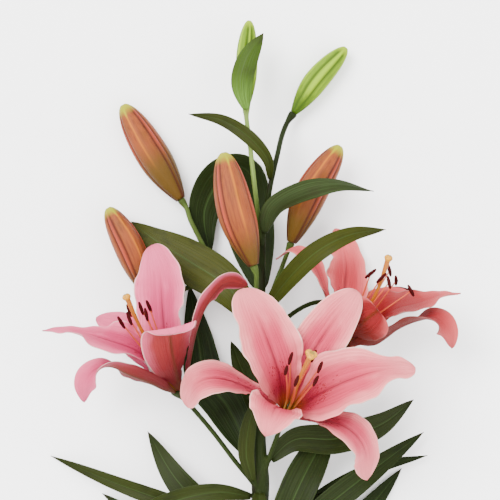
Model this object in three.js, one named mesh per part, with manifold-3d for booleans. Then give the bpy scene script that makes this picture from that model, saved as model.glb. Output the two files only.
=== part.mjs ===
// A cut lily with three open blooms, six buds and its leaves, lying on a surface.
//
// Millimetres. The surface is z = 0 and the plant lies along +Y, its cut end at low Y and its
// topmost bud at high Y, with the faces of its leaves and blooms turned up to +Z. While it is
// built, x = 0, y = 0 is the place on the stem where the lowest flower stalks leave it. At the
// end everything moves together, so that the origin is under the middle of the plant.

import * as THREE from "three";
import Module from "manifold-3d";

const wasm = await Module();
wasm.setup();

// Driving dimensions.
const STEM_RADIUS = 5;
const STEM_TOP_RADIUS = 2;
const NODE_SWELLING = 1.4;
const STALK_RADIUS = 1.8;
const RECEPTACLE_RADIUS = 6.2;
const RECEPTACLE_LENGTH = 10;
const GAP = 0.35;
const PETAL_WIDTH = 46;
const SEPAL_WIDTH = 30;
const PETAL_RING = 3.9;
const SEPAL_RING = 5.4;
const CLAW_LENGTH = 12;
const PETAL_OPENING = THREE.MathUtils.degToRad(30);
const SEPAL_OPENING = THREE.MathUtils.degToRad(40);
const LEAF_THICKNESS = 0.8;
const TEPAL_THICKNESS = 1.1;
const EDGE_THICKNESS = 0.6;
const TIP_WIDTH = 1.2;
const FILAMENT_RADIUS = 0.75;
const STAMEN_RING = 2.35;
const ANTHER_LENGTH = 10;
const ANTHER_RADIUS = 1.5;
const STYLE_RADIUS = 1.25;
const OVARY_RADIUS = 1.35;
const OVARY_LENGTH = 14;

// How finely the curved pieces are divided.
const LEAF_STATIONS = 9;
const TEPAL_STATIONS = 11;
const BLADE_COLUMNS = 4;
const STEM_SIDES = 10;
const STALK_SIDES = 6;
const BUD_SIDES = 12;
const BUD_RINGS = 8;

const vector = ([x, y, z]) => new THREE.Vector3(x, y, z);
const route = (points) => new THREE.CatmullRomCurve3(points, false, "centripetal");
const along = (point, direction, distance) => point.clone().addScaledVector(direction, distance);

// Colours and finishes.
const finish = (color, roughness) =>
  new THREE.MeshStandardMaterial({ color, roughness, metalness: 0 });
const stemGreen = () => finish("#4d5c2c", 0.5);
const leafGreen = () => finish("#586a2a", 0.4);
const petalPink = () => finish("#e8979a", 0.5);
const sepalPink = () => finish("#dd8480", 0.5);
const budCoral = () => finish("#cd7855", 0.5);
const budGreen = () => finish("#9bb83a", 0.5);
const antherMaroon = () => finish("#6a1410", 0.8);
const styleOrange = () => finish("#eaa65e", 0.4);

// A closed solid from its corner points and its triangles.
function solid(points, triangles) {
  const geometry = new THREE.BufferGeometry();
  const corners = points.flatMap((p) => [p.x, p.y, Math.max(p.z, 0)]);
  geometry.setAttribute("position", new THREE.Float32BufferAttribute(corners, 3));
  geometry.setIndex(triangles);
  return geometry;
}

// The direction across each station of a curve, carried along it without turning round it.
// face is the way the blade's upper side looks at the start of the curve, and twist turns it
// smoothly round the curve from twistFrom to the tip.
function carry(curve, stations, face, twist = 0, twistFrom = 0) {
  const frames = [];
  for (const s of stations) {
    const point = curve.getPointAt(s);
    const tangent = curve.getTangentAt(s);
    const last = frames.at(-1);
    const normal = (last ? last.normal : face).clone();
    if (last) {
      const step = point.clone().sub(last.point);
      normal.addScaledVector(step, (-2 * normal.dot(step)) / step.lengthSq());
      const mirrored = along(last.tangent, step, (-2 * last.tangent.dot(step)) / step.lengthSq());
      const turn = tangent.clone().sub(mirrored);
      if (turn.lengthSq() > 1e-12) {
        normal.addScaledVector(turn, (-2 * normal.dot(turn)) / turn.lengthSq());
      }
    }
    normal.addScaledVector(tangent, -normal.dot(tangent)).normalize();
    frames.push({ point, tangent, normal });
  }
  return frames.map(({ point, tangent, normal }, i) => {
    const share = THREE.MathUtils.smoothstep(stations[i], twistFrom, 1);
    const up = normal.clone().applyAxisAngle(tangent, THREE.MathUtils.degToRad(twist) * share);
    return { point, tangent, up, across: tangent.clone().cross(up) };
  });
}

// How wide a leaf, a petal or a bud is at s, from 0 at its foot to 1 at its tip, as a share of
// its greatest width. pinch is the share that it narrows by just before its tip.
function outline(s, { foot, widest, taper, blunt, pinch = 0 }) {
  const waist = 1 - pinch * Math.exp(-(((s - 0.8) / 0.12) ** 2));
  if (s > widest) return waist * (1 - ((s - widest) / (1 - widest)) ** 2) ** blunt;
  return waist * (foot + (1 - foot) * Math.sin(((s / widest) * Math.PI) / 2) ** taper);
}

// A thin blade along a curve: a leaf, a petal or a sepal. cup bends it across, in degrees either
// side of its midrib at the foot, the middle and the tip, towards its upper side. Its edges rise
// and fall in waves. Both faces are split into the same triangles.
function blade(spine, shape) {
  const { width, face, twist, twistFrom, cup, wave, thickness, stations } = shape;
  const curve = route(spine);
  const spread = Array.from({ length: stations + 1 }, (_, i) => 1 - (1 - i / stations) ** 1.35);
  const columns = Array.from({ length: BLADE_COLUMNS + 1 }, (_, j) => (2 * j) / BLADE_COLUMNS - 1);
  const middle = carry(curve, spread, face, twist, twistFrom).map(({ point, up, across }, i) => {
    const s = spread[i];
    const half = Math.max(width * outline(s, shape), TIP_WIDTH) / 2;
    const [start, mid, end] = cup;
    const [from, to, share] = s < 0.5 ? [start, mid, 2 * s] : [mid, end, 2 * s - 1];
    const bend = THREE.MathUtils.lerp(from, to, share);
    const arc = THREE.MathUtils.degToRad(Math.abs(bend) < 1 ? 1 : bend);
    return columns.map((t) => {
      const ripple = Math.sin(2 * Math.PI * wave.count * s + (t < 0 ? wave.lag : 0));
      const lift = wave.height * Math.sin(Math.PI * s) * Math.abs(t) ** 2.5 * ripple;
      const out = (half * Math.sin(arc * t)) / arc;
      const rise = (half * (1 - Math.cos(arc * t))) / arc + lift;
      return along(point, across, out).addScaledVector(up, rise);
    });
  });
  const upper = [];
  const lower = [];
  middle.forEach((row, i) => {
    row.forEach((point, j) => {
      const rowAfter = middle[Math.min(i + 1, stations)];
      const rowBefore = middle[Math.max(i - 1, 0)];
      const lengthways = rowAfter[j].clone().sub(rowBefore[j]);
      const sideways = row[Math.min(j + 1, BLADE_COLUMNS)].clone().sub(row[Math.max(j - 1, 0)]);
      const normal = sideways.cross(lengthways).normalize();
      const half = THREE.MathUtils.lerp(thickness, EDGE_THICKNESS, columns[j] ** 2) / 2;
      upper.push(along(point, normal, half));
      lower.push(along(point, normal, -half));
    });
  });
  const below = upper.length;
  const at = (i, j) => i * (BLADE_COLUMNS + 1) + j;
  const triangles = [];
  for (let i = 0; i < stations; i++) {
    for (let j = 0; j < BLADE_COLUMNS; j++) {
      const [a, b, c, d] = [at(i, j), at(i, j + 1), at(i + 1, j + 1), at(i + 1, j)];
      triangles.push(a, b, c, a, c, d);
      triangles.push(below + a, below + c, below + b, below + a, below + d, below + c);
    }
    const [left, leftNext] = [at(i, 0), at(i + 1, 0)];
    const [right, rightNext] = [at(i, BLADE_COLUMNS), at(i + 1, BLADE_COLUMNS)];
    triangles.push(left, leftNext, below + leftNext, left, below + leftNext, below + left);
    triangles.push(right, below + right, below + rightNext, right, below + rightNext, rightNext);
  }
  for (let j = 0; j < BLADE_COLUMNS; j++) {
    const [foot, footNext] = [at(0, j), at(0, j + 1)];
    const [tip, tipNext] = [at(stations, j), at(stations, j + 1)];
    triangles.push(foot, below + foot, below + footNext, foot, below + footNext, footNext);
    triangles.push(tip, tipNext, below + tipNext, tip, below + tipNext, below + tip);
  }
  return solid([...upper, ...lower], triangles);
}

// The side that the first corner of a round solid's rings looks to: nearly up, and along no curve.
const ANY_SIDE = new THREE.Vector3(0.1, 0.1, 1);

// A round solid along a curve, closed at both ends. radius gives its radius at s and at an angle.
function round(curve, stations, sides, radius) {
  const points = carry(curve, stations, ANY_SIDE).flatMap(({ point, up, across }, i) => {
    return Array.from({ length: sides }, (_, k) => {
      const angle = (2 * Math.PI * k) / sides;
      const reach = radius(stations[i], angle);
      const edge = along(point, up, reach * Math.cos(angle));
      return edge.addScaledVector(across, reach * Math.sin(angle));
    });
  });
  const triangles = [];
  const end = (stations.length - 1) * sides;
  const [start, tip] = [points.length, points.length + 1];
  points.push(curve.getPointAt(stations[0]), curve.getPointAt(stations.at(-1)));
  for (let k = 0; k < sides; k++) {
    const next = (k + 1) % sides;
    for (let i = 0; i < end; i += sides) {
      triangles.push(i + k, i + next, i + sides + next, i + k, i + sides + next, i + sides + k);
    }
    triangles.push(start, next, k, tip, end + k, end + next);
  }
  return solid(points, triangles);
}

// The same solid for manifold-3d and back again.
function toManifold(geometry) {
  const vertProperties = geometry.attributes.position.array;
  const triVerts = new Uint32Array(geometry.index.array);
  return new wasm.Manifold(new wasm.Mesh({ numProp: 3, vertProperties, triVerts }));
}

function fromManifold(manifold) {
  const { vertProperties, triVerts } = manifold.getMesh();
  const geometry = new THREE.BufferGeometry();
  geometry.setAttribute("position", new THREE.Float32BufferAttribute(vertProperties, 3));
  geometry.setIndex([...triVerts]);
  return geometry;
}

// Several solids joined in one.
function joined(geometries) {
  const [first, ...rest] = geometries.map(toManifold);
  return fromManifold(rest.reduce((whole, next) => whole.add(next), first));
}

// One solid with another taken out of it.
function cut(geometry, tool) {
  return fromManifold(toManifold(geometry).subtract(toManifold(tool)));
}

// Stations along a curve: evenly spread, or closer together towards its end.
const even = (count) => Array.from({ length: count + 1 }, (_, i) => i / count);
const closing = (count) => even(count).map((u) => 1 - (1 - u) ** 1.6);

function mesh(name, geometry, material) {
  geometry.computeVertexNormals();
  const made = new THREE.Mesh(geometry, material);
  made.name = name;
  return made;
}

const plant = new THREE.Group();
plant.name = "cut_lily";

// Buds: where each one's foot, middle and tip are, and the stalk that brings it there. The side
// green bud has none, because it ends the main stem.
const buds = {
  tall_green_bud: {
    points: [[-11, 239, 32], [-11, 275, 30], [-9, 300, 28]], radius: 7.6, paint: budGreen,
    stalk: [[0, 140, 42], [-4, 172, 43], [-8, 207, 39]],
  },
  side_green_bud: { points: [[23, 235, 10], [39, 258, 8.2], [61, 282, 9.5]],
    radius: 8.6, paint: budGreen },
  corner_bud: {
    points: [[-58, 173, 13], [-80, 207, 10.3], [-100, 241, 11]], radius: 12, paint: budCoral,
    stalk: [[0, 80, 38], [-26, 108, 22], [-39, 134, 19], [-51, 158, 21]],
  },
  centre_bud: {
    points: [[-6, 126, 60], [-18, 164, 64], [-27, 205, 62]], radius: 13, paint: budCoral,
    stalk: [[-1, 76, 40], [-3, 96, 47], [-4, 110, 54]],
  },
  outer_bud: {
    points: [[-83, 107, 18], [-93, 136, 20], [-110, 167, 20]], radius: 10.5, paint: budCoral,
    stalk: [[0, 69, 37], [-21, 102, 22], [-51, 110, 14], [-72, 97, 14]],
  },
  side_bud: {
    points: [[21, 142, 27], [34, 176, 28], [56, 211, 26]], radius: 11.7, paint: budCoral,
    stalk: [[1, 83, 41], [8, 108, 36], [15, 126, 30]],
  },
};
for (const bud of Object.values(buds)) {
  bud.points = bud.points.map(vector);
  const [foot, middle] = bud.points;
  bud.direction = middle.clone().sub(foot).normalize();
}

// The last points of a stalk, which bring it up to a bud straight.
function approach({ points, direction }) {
  return [along(points[0], direction, -7), points[0]];
}

// The main stem rises from its cut end on the surface, and its top bends down again to carry
// the green side bud.
const stemPoints = [
  [0, -212, 5], [0, -144, 9], [-1, -71, 21], [-1, -27, 33], [-2, 16, 38], [-2, 66, 40],
  [0, 108, 41], [1, 151, 42], [6, 182, 42], [11, 204, 33], [15, 220, 18],
].map(vector);
const stemCurve = route([...stemPoints, ...approach(buds.side_green_bud)]);
const stemLength = stemCurve.getLength();

function stemRadius(s) {
  const thinner = THREE.MathUtils.smoothstep(s, 0.35, 0.85);
  const neck = THREE.MathUtils.smoothstep(s, 1 - 9 / stemLength, 1);
  const swelling = NODE_SWELLING * Math.exp(-(((s - 0.4) / 0.035) ** 2));
  return THREE.MathUtils.lerp(STEM_RADIUS, STEM_TOP_RADIUS, thinner) + swelling + 1.2 * neck;
}

// The place on the stem at a given y: its middle, its direction and its radius.
function stemAt(y) {
  let [low, high] = [0, 1];
  while (high - low > 1e-6) {
    const half = (low + high) / 2;
    if (stemCurve.getPointAt(half).y < y) low = half;
    else high = half;
  }
  const middle = stemCurve.getPointAt(low);
  return { middle, tangent: stemCurve.getTangentAt(low), radius: stemRadius(low) };
}

// The blooms: where the receptacle's top is, and which way the bloom looks.
const blooms = {
  front: { at: [17, 24, 70], axis: [0.26, 0.59, 0.77], turn: 26, stamenTurn: 35 },
  left: { at: [-59, 39, 50], axis: [-0.47, 0.81, 0.34], turn: -10, stamenTurn: 40 },
  right: { at: [59, 70, 42], axis: [0.47, 0.82, 0.31], turn: 10, stamenTurn: 25 },
};
for (const bloom of Object.values(blooms)) {
  bloom.at = vector(bloom.at);
  bloom.axis = vector(bloom.axis).normalize();
  bloom.side = new THREE.Vector3(bloom.axis.y, -bloom.axis.x, 0).normalize();
  bloom.back = bloom.axis.clone().cross(bloom.side);
}

// Each stalk leaves the middle of the stem and ends under its bloom or bud.
const bloomStalks = {
  front: [[-1, -32, 34], [4, -14, 38], [11, 6, 48]],
  left: [[-2, -32, 33], [-15, -18, 36], [-35, 8, 36], [-50, 26, 40]],
  right: [[0, 64, 40], [19, 89, 30], [38, 99, 22], [50, 97, 14], [54, 79, 10], [51, 63, 24]],
};

function stalk(points, endRadius, swelling) {
  const curve = route(points);
  const length = curve.getLength();
  const radius = (s) => {
    const swell = THREE.MathUtils.smoothstep(length * (s - 1), -swelling, 0);
    return THREE.MathUtils.lerp(STALK_RADIUS, endRadius, swell);
  };
  return round(curve, closing(9), STALK_SIDES, radius);
}

function stemMesh() {
  const pieces = [round(stemCurve, even(28), STEM_SIDES, stemRadius)];
  for (const [name, points] of Object.entries(bloomStalks)) {
    const { at, axis } = blooms[name];
    const end = along(at, axis, -GAP);
    const path = [...points.map(vector), along(end, axis, -8), end];
    pieces.push(stalk(path, RECEPTACLE_RADIUS, RECEPTACLE_LENGTH));
  }
  for (const bud of Object.values(buds)) {
    if (bud.stalk) pieces.push(stalk([...bud.stalk.map(vector), ...approach(bud)], 3, 9));
  }
  return mesh("stem", joined(pieces), stemGreen());
}
plant.add(stemMesh());

// Leaves. foot is the y of the leaf's foot on the stem, and the points run from there along its
// midrib to its tip. seat is how far a foot that curls round the stem sits closer to it.
const leafShape = {
  width: 20, foot: 0.3, widest: 0.42, taper: 0.8, blunt: 0.9, face: [0, 0, 1], twist: 0, twistFrom: 0,
  cup: [35, 12, 5], wave: { height: 0.8, count: 2, lag: 2 },
  thickness: LEAF_THICKNESS, stations: LEAF_STATIONS, seat: 0,
};
const leaves = [
  // Round the buds.
  { foot: 186, points: [[4, 200, 50], [-8, 215, 50], [-28, 228, 44], [-52, 233, 34]],
    width: 10, seat: 0.7 },
  { foot: 149, points: [[9, 166, 52], [25, 176, 55], [51, 182, 52], [79, 178, 40]],
    width: 17, widest: 0.2, blunt: 1.1, face: [-0.2, 0.8, -0.3], twist: -90 },
  { foot: 110, points: [[-7, 142, 14], [-12, 168, 6], [-16, 187, 7], [-28, 187, 13], [-41, 165, 9.5],
      [-37, 132, 9]],
    width: 38, stations: 14, twist: 30, seat: 0.6 },
  { foot: 94, points: [[19, 117, 60], [39, 136, 68], [61, 147, 66], [87, 151, 52]],
    width: 15, seat: 0.5 },
  { foot: 88, points: [[-24, 110, 36], [-51, 128, 23], [-77, 144, 12], [-94, 157, 7]], width: 32 },
  // Behind and under the blooms.
  { foot: 20, points: [[-10, 41, 30], [-16, 56, 20], [-22, 71, 10]], width: 14 },
  { foot: -8, points: [[-24, 24, 23], [-40, 45, 15], [-46, 75, 8], [-52, 111, 4]],
    width: 31, widest: 0.3, seat: -0.6 },
  { foot: -12, points: [[23, 2, 36], [52, 3, 38], [84, 12, 26], [109, 29, 10]], width: 22 },
  { foot: -26, points: [[-11, -8, 46], [-9, 14, 49], [-2, 37, 54]], width: 12, seat: 0.7 },
  // Round the middle of the stem.
  { foot: -38, points: [[-33, -35, 38], [-72, -45, 32], [-107, -64, 14]], width: 15 },
  { foot: -34, points: [[-3, -52, 46], [-11, -83, 38], [-18, -120, 22]], width: 22, seat: 0.4 },
  { foot: -63, points: [[-44, -50, 30], [-101, -31, 22], [-152, -12, 1]], width: 12 },
  { foot: -72, points: [[34, -46, 20], [78, -21, 15], [119, -11, 9]], width: 12 },
  { foot: -84, points: [[-33, -57, 24], [-62, -26, 20], [-82, 6, 6]], width: 21 },
  { foot: -86, points: [[31, -59, 27], [70, -27, 27], [116, 6, 14]], width: 19 },
  { foot: -100, points: [[11, -69, 33], [26, -32, 34], [40, -5, 28], [52, 18, 22]],
    width: 26, widest: 0.6, seat: 1.4 },
  { foot: -98, points: [[-37, -82, 18], [-80, -61, 12], [-115, -39, 1]], width: 16 },
  { foot: -115, points: [[35, -86, 12], [72, -54, 8], [101, -21, 1]], width: 20 },
  // Low on the stem.
  { foot: -129, points: [[27, -112, 18], [60, -104, 14], [91, -100, 1]], width: 17 },
  { foot: -144, points: [[-26, -132, 16], [-59, -138, 12], [-89, -152, 1]], width: 18 },
  { foot: -159, points: [[20, -153, 20], [49, -158, 16], [81, -156, 1]], width: 17 },
];

function leafMesh(leaf, index) {
  const shape = { ...leafShape, ...leaf };
  shape.foot = leafShape.foot;
  shape.face = vector(shape.face);
  const { middle, tangent, radius } = stemAt(leaf.foot);
  const points = leaf.points.map(vector);
  const leaving = points[0].clone().sub(middle);
  const outward = along(leaving, tangent, -leaving.dot(tangent)).normalize();
  const across = leaving.clone().normalize().cross(shape.face);
  const halfFoot = (shape.width * shape.foot) / 2;
  const turnedIn = Math.abs(across.dot(outward)) * halfFoot;
  const reach = radius + GAP + turnedIn + shape.thickness / 2 - shape.seat;
  const spine = [along(middle, outward, reach), ...points];
  return mesh(`leaf_${String(index + 1).padStart(2, "0")}`, blade(spine, shape), leafGreen());
}
leaves.forEach((leaf, index) => plant.add(leafMesh(leaf, index)));

// The small leaf that wraps the tall bud's foot.
const bractShape = {
  ...leafShape, width: 18, foot: 0.25, face: new THREE.Vector3(0, 0, -1), cup: [50, 48, 15],
};
const bractSpine = [[-11, 236, 37.5], [-14, 254, 41], [-10, 271, 41], [1, 290, 38]].map(vector);
plant.add(mesh("bract_leaf", blade(bractSpine, bractShape), leafGreen()));

// Buds: three outer petals closed on each other, so three broad lobes with grooves between.
const budShape = { foot: 0.3, widest: 0.42, taper: 0.9, blunt: 0.6 };
function budMesh(name, { points, direction, radius, paint }) {
  const [foot, ...rest] = points;
  const raised = along(foot, direction, GAP);
  const rings = closing(BUD_RINGS).map((s) => 0.995 * s);
  const reach = (s, angle) => {
    const share = outline(s, budShape);
    return radius * share * (1 + 0.05 * share * Math.cos(3 * angle));
  };
  return mesh(name, round(route([raised, ...rest]), rings, BUD_SIDES, reach), paint());
}
for (const [name, bud] of Object.entries(buds)) plant.add(budMesh(name, bud));

// Tepals: three broad inner petals and three narrow outer sepals take turns round each bloom,
// 60 degrees apart. place counts the turns, and the points run along the midrib from beyond
// the claw to the tip, measured from the receptacle's top.
const petalShape = {
  width: PETAL_WIDTH, foot: 0.09, widest: 0.56, taper: 1.5, blunt: 0.6,
  cup: [36, 22, 8], twist: 0, twistFrom: 0,
  wave: { height: 2, count: 2.5, lag: 2.4 }, thickness: TEPAL_THICKNESS, stations: TEPAL_STATIONS,
  ring: PETAL_RING, opening: PETAL_OPENING, paint: petalPink,
};
const sepalShape = {
  ...petalShape, width: SEPAL_WIDTH, foot: 0.12, widest: 0.5, cup: [30, 14, 8],
  wave: { height: 1, count: 2, lag: 2 }, ring: SEPAL_RING, opening: SEPAL_OPENING,
  paint: sepalPink,
};
const still = { height: 0, count: 1, lag: 0 };
const tepals = {
  front: {
    petal_right: { place: 0, points: [[26, 15, 20], [45, 24, 25], [66, 30, 22], [89, 31, 12]],
      width: 53, widest: 0.42, taper: 1.2, pinch: 0.45 },
    sepal_high: { place: 1, points: [[17, 39, 5], [33, 64, 9], [49, 84, 12]], width: 36,
      blunt: 0.45 },
    petal_high: { place: 2, points: [[-6.5, 30.5, 19], [-14, 52, 24], [-22, 71, 23], [-30, 86, 14]],
      taper: 0.9, widest: 0.5, blunt: 0.5 },
    sepal_left: { place: 3,
      points: [[-26, 16.5, 6.5], [-50, 24, 14], [-62, 20.5, 13], [-71, 5, -4]], taper: 1.8,
      width: 28, foot: 0.12, widest: 0.55, blunt: 0.4, twist: -40, twistFrom: 0.3 },
    petal_low: { place: 4, points: [[-5, 3.5, 24.5], [-9, 4, 46], [-12, -4, 61], [-15, -13, 64]],
      width: 39, taper: 1.9, blunt: 0.8 },
    sepal_low: { place: 5,
      points: [[24.5, -5, 14], [41.5, -10.5, 18], [53, -23.5, 10], [56.5, -48.5, -10]], width: 31,
      widest: 0.55, blunt: 0.75, twist: 60, twistFrom: 0.25 },
  },
  left: {
    sepal_right: { place: 0, points: [[13, 42, 22], [22, 63, 30], [33, 75, 26], [49, 73, 12]],
      twist: -42, width: 20, cup: [30, 20, 10] },
    petal_high: { place: 1, points: [[-8, 31, -4], [-11, 55, -6], [-13, 80, -9], [-19, 101, -14]],
      blunt: 0.45, wave: { height: 3, count: 2.5, lag: 2.4 } },
    sepal_back: { place: 2, points: [[-24, 28, -22], [-42, 43, -35], [-60, 49, -45]] },
    petal_left: { place: 3, points: [[-26, 25, 13], [-50, 35, 18], [-74, 41, 12], [-95, 41, 6]],
      width: 50, widest: 0.42, blunt: 1.1, pinch: 0.5 },
    sepal_low: { place: 4,
      points: [[-17, 5, 20], [-33, 11.5, 24], [-47, 17, 22], [-59, 13, 17], [-65, 3.5, 11], [-66, -9.5, 0]],
      twist: -190, twistFrom: 0.4, width: 14, foot: 0.15, widest: 0.5, taper: 0.9, pinch: -0.5,
      cup: [60, 14, 8] },
    petal_near: { place: 5,
      points: [[-2, 18, 30], [-4, 32, 46], [-4, 42, 57], [-3, 44, 63], [-2, 40, 66]], width: 42,
      foot: 0.15, widest: 0.75, blunt: 0.25, taper: 1.5, twist: -25, twistFrom: 0.5, wave: still },
  },
  right: {
    petal_right: { place: 0, points: [[31, 23, 9], [52, 29.5, 12], [66, 34.5, 10], [81, 36, 6]],
      width: 50, widest: 0.42, blunt: 1.1, pinch: 0.4 },
    sepal_back: { place: 1, points: [[28, 30, -31.5], [46, 33, -38.5], [58, 33, -41]], width: 24 },
    petal_high: { place: 2, points: [[0, 38, -18], [1, 59, -24], [-6, 82, -28]], width: 38 },
    sepal_left: { place: 3, points: [[-15, 38, 5], [-24, 58, 7], [-36, 67, 4], [-49, 60, -3]],
      twist: -25, width: 25 },
    petal_near: { place: 4, points: [[8, 13, 24.5], [14.5, 19.5, 36], [21, 25, 44]], width: 35,
      foot: 0.1, widest: 0.75, blunt: 0.3, taper: 1.6, wave: still },
    sepal_low: { place: 5,
      points: [[20.5, 0.5, 7], [35, 11, 14], [48, 17, 18], [63, 19, 15], [72, 9.5, 6], [75.5, -3, -4]],
      width: 18, foot: 0.08, widest: 0.5, taper: 1, pinch: 0, twist: 190, twistFrom: 0.5,
      cup: [60, 14, 8] },
  },
};

// A bloom's pieces are kept in its own group, whose origin is the receptacle's top.
function placed(geometry, bloom) {
  return geometry.translate(-bloom.at.x, -bloom.at.y, -bloom.at.z);
}

// The direction outward from a bloom's axis at an angle round it.
function outwardAt({ side, back }, degrees) {
  const angle = THREE.MathUtils.degToRad(degrees);
  return side.clone().multiplyScalar(Math.cos(angle)).addScaledVector(back, Math.sin(angle));
}

function tepalMesh(name, bloom, tepal, basis) {
  const shape = { ...basis, ...tepal };
  const outward = outwardAt(bloom, bloom.turn + 60 * tepal.place);
  const foot = outward.clone().multiplyScalar(shape.ring).addScaledVector(bloom.axis, GAP);
  const claw = bloom.axis.clone().multiplyScalar(Math.cos(shape.opening));
  claw.addScaledVector(outward, Math.sin(shape.opening));
  const spine = [foot, along(foot, claw, CLAW_LENGTH), ...tepal.points.map(vector)];
  shape.face = outward.clone().negate();
  return mesh(name, placed(blade(spine.map((p) => p.add(bloom.at)), shape), bloom), shape.paint());
}

// Where each anther's middle is and which way it leans, and the points of each style up to its
// stigma, measured from the receptacle's top.
const anthers = {
  front: [
    { middle: [22, 33, 51], lean: [0.28, 0.75, 0.6] },
    { middle: [18, 40, 38], lean: [0.3, 0.8, 0.5] },
    { middle: [2, 39, 52], lean: [0.23, 0.82, 0.53] },
    { middle: [-1, 31, 56], lean: [0.12, 0.61, 0.78] },
    { middle: [6, 24, 59], lean: [0.25, 0.71, 0.66] },
    { middle: [19, 24, 57], lean: [0.31, 0.68, 0.66] },
  ],
  left: [
    { middle: [-20, 58, 12], lean: [-0.33, 0.84, 0.42] },
    { middle: [-34, 55, 5], lean: [-0.33, 0.84, 0.42] },
    { middle: [-39, 47, 20], lean: [-0.46, 0.82, 0.34] },
    { middle: [-33, 50, 30], lean: [-0.32, 0.9, 0.3] },
    { middle: [-21, 53, 36], lean: [-0.16, 0.87, 0.46] },
    { middle: [-25, 57, 26], lean: [-0.27, 0.88, 0.4] },
  ],
  right: [
    { middle: [35, 45, 16], lean: [-0.05, 0.62, 0.78] },
    { middle: [31, 52, 5], lean: [-0.2, 0.8, 0.56] },
    { middle: [17, 50, 20], lean: [0.72, 0.6, 0.35] },
    { middle: [24, 47, 30], lean: [0.65, 0.65, 0.4] },
    { middle: [29, 44, 36], lean: [-0.2, 0.85, 0.5] },
    { middle: [45, 38, 24], lean: [-0.4, 0.75, 0.5] },
  ],
};
const pistils = {
  front: { points: [[9, 27, 44], [16, 42, 58]], stigma: 4.2 },
  left: { points: [[-25, 42, 20], [-35, 65, 28]], stigma: 3.3 },
  right: { points: [[21, 37, 22], [29, 61, 30]], stigma: 3.2 },
};

// Six filaments stand in a ring round the ovary, each with its anther across its end.
function stamensMesh(name, bloom) {
  const ringAt = (height) => along(bloom.at, bloom.axis, height);
  const ring = round(route([ringAt(GAP), ringAt(2)]), even(1), 12, () => STAMEN_RING + 0.55);
  const hole = round(route([ringAt(-1), ringAt(4)]), even(1), 12, () => STAMEN_RING - 0.45);
  const whole = anthers[name].flatMap(({ middle, lean }, i) => {
    const outward = outwardAt(bloom, bloom.stamenTurn + 60 * i);
    const foot = along(ringAt(GAP + 0.3), outward, STAMEN_RING);
    const rise = along(along(foot, bloom.axis, 16), outward, 2);
    const end = vector(middle).add(bloom.at);
    const reach = vector(lean).setLength(ANTHER_LENGTH / 2);
    const tips = [end.clone().sub(reach), end, end.clone().add(reach)];
    const swell = (s) => ANTHER_RADIUS * Math.sin(Math.PI * (0.12 + 0.76 * s)) ** 0.7;
    return [
      round(route([foot, rise, end]), even(4), 4, () => FILAMENT_RADIUS),
      round(route(tips), even(3), 6, swell),
    ];
  });
  const rim = joined([ring, ...whole]);
  return mesh(`${name}_stamens`, placed(cut(rim, hole), bloom), antherMaroon());
}

// The ovary, the style that stands on it and the three-lobed stigma.
function pistilMesh(name, bloom) {
  const foot = along(bloom.at, bloom.axis, GAP);
  const { points, stigma } = pistils[name];
  const style = points.map((p) => vector(p).add(bloom.at));
  const curve = route([foot, along(foot, bloom.axis, OVARY_LENGTH), ...style]);
  const length = curve.getLength();
  const radius = (s) => {
    const left = length * (1 - s);
    const ovary = (OVARY_RADIUS - STYLE_RADIUS) * (s * length < OVARY_LENGTH ? 1 : 0);
    return STYLE_RADIUS + ovary + 0.5 * THREE.MathUtils.smoothstep(-left, -20, 0);
  };
  const end = curve.getPointAt(1);
  const tip = curve.getTangentAt(1);
  const knob = route([along(end, tip, -2.5), end, along(end, tip, 2)]);
  const lobes = (s, angle) => {
    const reach = stigma * (0.45 + 0.55 * Math.sin(Math.PI * s));
    return reach * (1 + 0.15 * Math.cos(3 * angle));
  };
  const whole = joined([round(curve, even(10), 8, radius), round(knob, even(4), 12, lobes)]);
  return mesh(`${name}_pistil`, placed(whole, bloom), styleOrange());
}

for (const [name, bloom] of Object.entries(blooms)) {
  const group = new THREE.Group();
  group.name = `${name}_bloom`;
  group.position.copy(bloom.at);
  for (const [piece, tepal] of Object.entries(tepals[name])) {
    const basis = piece.startsWith("petal") ? petalShape : sepalShape;
    group.add(tepalMesh(`${name}_${piece}`, bloom, tepal, basis));
  }
  group.add(stamensMesh(name, bloom), pistilMesh(name, bloom));
  plant.add(group);
}

// The origin goes under the middle of the plant, on the surface.
const box = new THREE.Box3().setFromObject(plant, true);
const centre = box.getCenter(new THREE.Vector3());
plant.position.set(-centre.x, -centre.y, -box.min.z);

export default plant;
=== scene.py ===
import math
from functools import partialmethod

import bpy
import numpy as np
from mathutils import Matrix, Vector
from mathutils.kdtree import KDTree


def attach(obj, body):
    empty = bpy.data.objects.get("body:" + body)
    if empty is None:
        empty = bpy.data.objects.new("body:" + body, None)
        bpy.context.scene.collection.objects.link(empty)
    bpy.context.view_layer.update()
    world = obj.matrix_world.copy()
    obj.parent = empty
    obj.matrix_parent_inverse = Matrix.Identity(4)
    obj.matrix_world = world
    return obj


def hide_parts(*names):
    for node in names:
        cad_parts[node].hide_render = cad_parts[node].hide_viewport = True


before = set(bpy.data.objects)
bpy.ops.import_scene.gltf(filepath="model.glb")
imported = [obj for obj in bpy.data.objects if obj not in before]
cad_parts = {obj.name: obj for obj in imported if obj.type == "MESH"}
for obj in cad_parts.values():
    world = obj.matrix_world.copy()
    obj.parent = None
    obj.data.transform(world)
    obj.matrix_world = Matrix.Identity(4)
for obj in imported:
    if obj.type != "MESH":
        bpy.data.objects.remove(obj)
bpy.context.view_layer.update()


# The surface the plant lies on is a plain white board, matt and wider than the view.
# The room is softly lit: one wide pale sun from the upper left, a weaker one opposite it to
# open the shadows, and white light from all round.
def screen_colour(red, green, blue):
    """A colour given as 0 to 255 on a screen, as the light it stands for."""
    parts = [c / 255 / 12.92 if c <= 10 else ((c / 255 + 0.055) / 1.055) ** 2.4 for c in (red, green, blue)]
    return (*parts, 1)


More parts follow.
